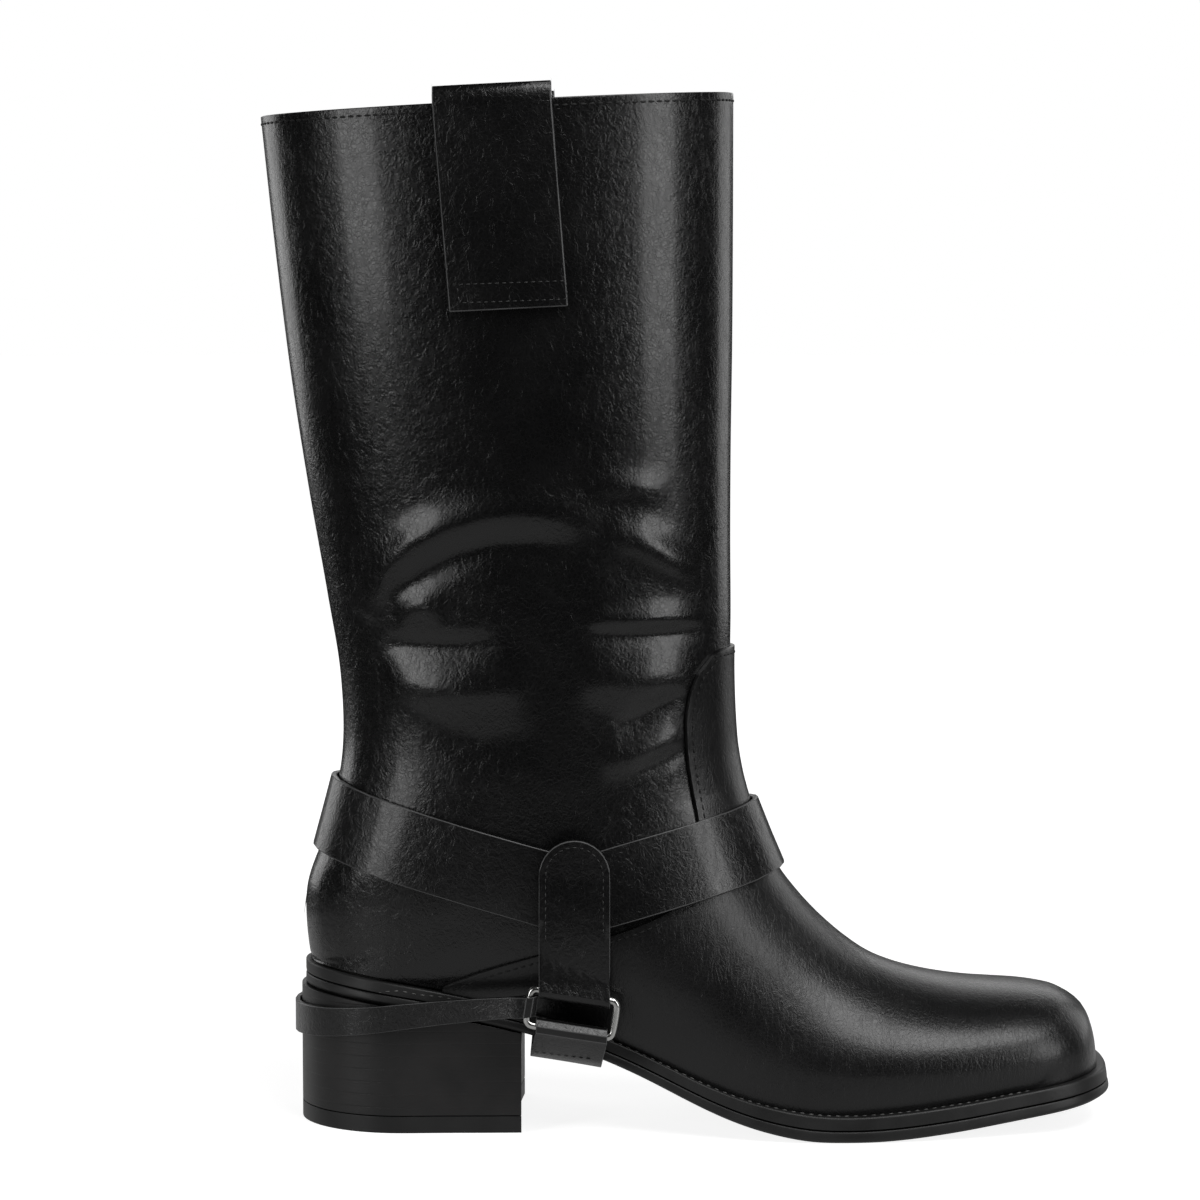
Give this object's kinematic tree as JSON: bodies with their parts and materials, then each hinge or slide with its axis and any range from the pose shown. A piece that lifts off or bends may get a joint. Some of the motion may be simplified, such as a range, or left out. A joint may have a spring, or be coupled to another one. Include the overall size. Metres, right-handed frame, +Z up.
{
  "type": "mid-calf boot",
  "caption": "Mid-calf pull-on harness boot with a square toe, stacked block heel, ankle straps joined by side rings, and pull tabs at the collar.",
  "frame": {"origin": "middle of the heel's flat bottom face, on the floor", "axes": "+X from the heel to the toe, +Y to the wearer's left, which is the inner side of this right boot, +Z up"},
  "size_m": [0.2815, 0.0967, 0.3416],
  "materials": {
    "upper": "black glossy smooth leather with a fine pull-up grain",
    "vamp": "black glossy smooth leather",
    "strap_leather": "black leather straps with a cut edge",
    "midsole": "satin black",
    "outsole": "satin black",
    "heel_stack": "black stacked layers, satin",
    "heel_tap": "matt black",
    "insole": "dark lining",
    "ring_metal": "polished bright metal"
  },
  "bodies": {
    "root": {"upper": "upper", "vamp": "vamp", "midsole": "midsole", "outsole": "outsole", "insole": "insole", "heel_block": "heel_stack", "heel_tap": "heel_tap", "ankle_strap_front": "strap_leather", "ankle_strap_back": "strap_leather", "side_tab_outer": "strap_leather", "side_tab_inner": "strap_leather", "heel_strap": "strap_leather", "arch_strap": "strap_leather", "ring_outer": "ring_metal", "ring_inner": "ring_metal", "pull_tab_outer": "strap_leather", "pull_tab_inner": "strap_leather"}
  },
  "joints": []
}
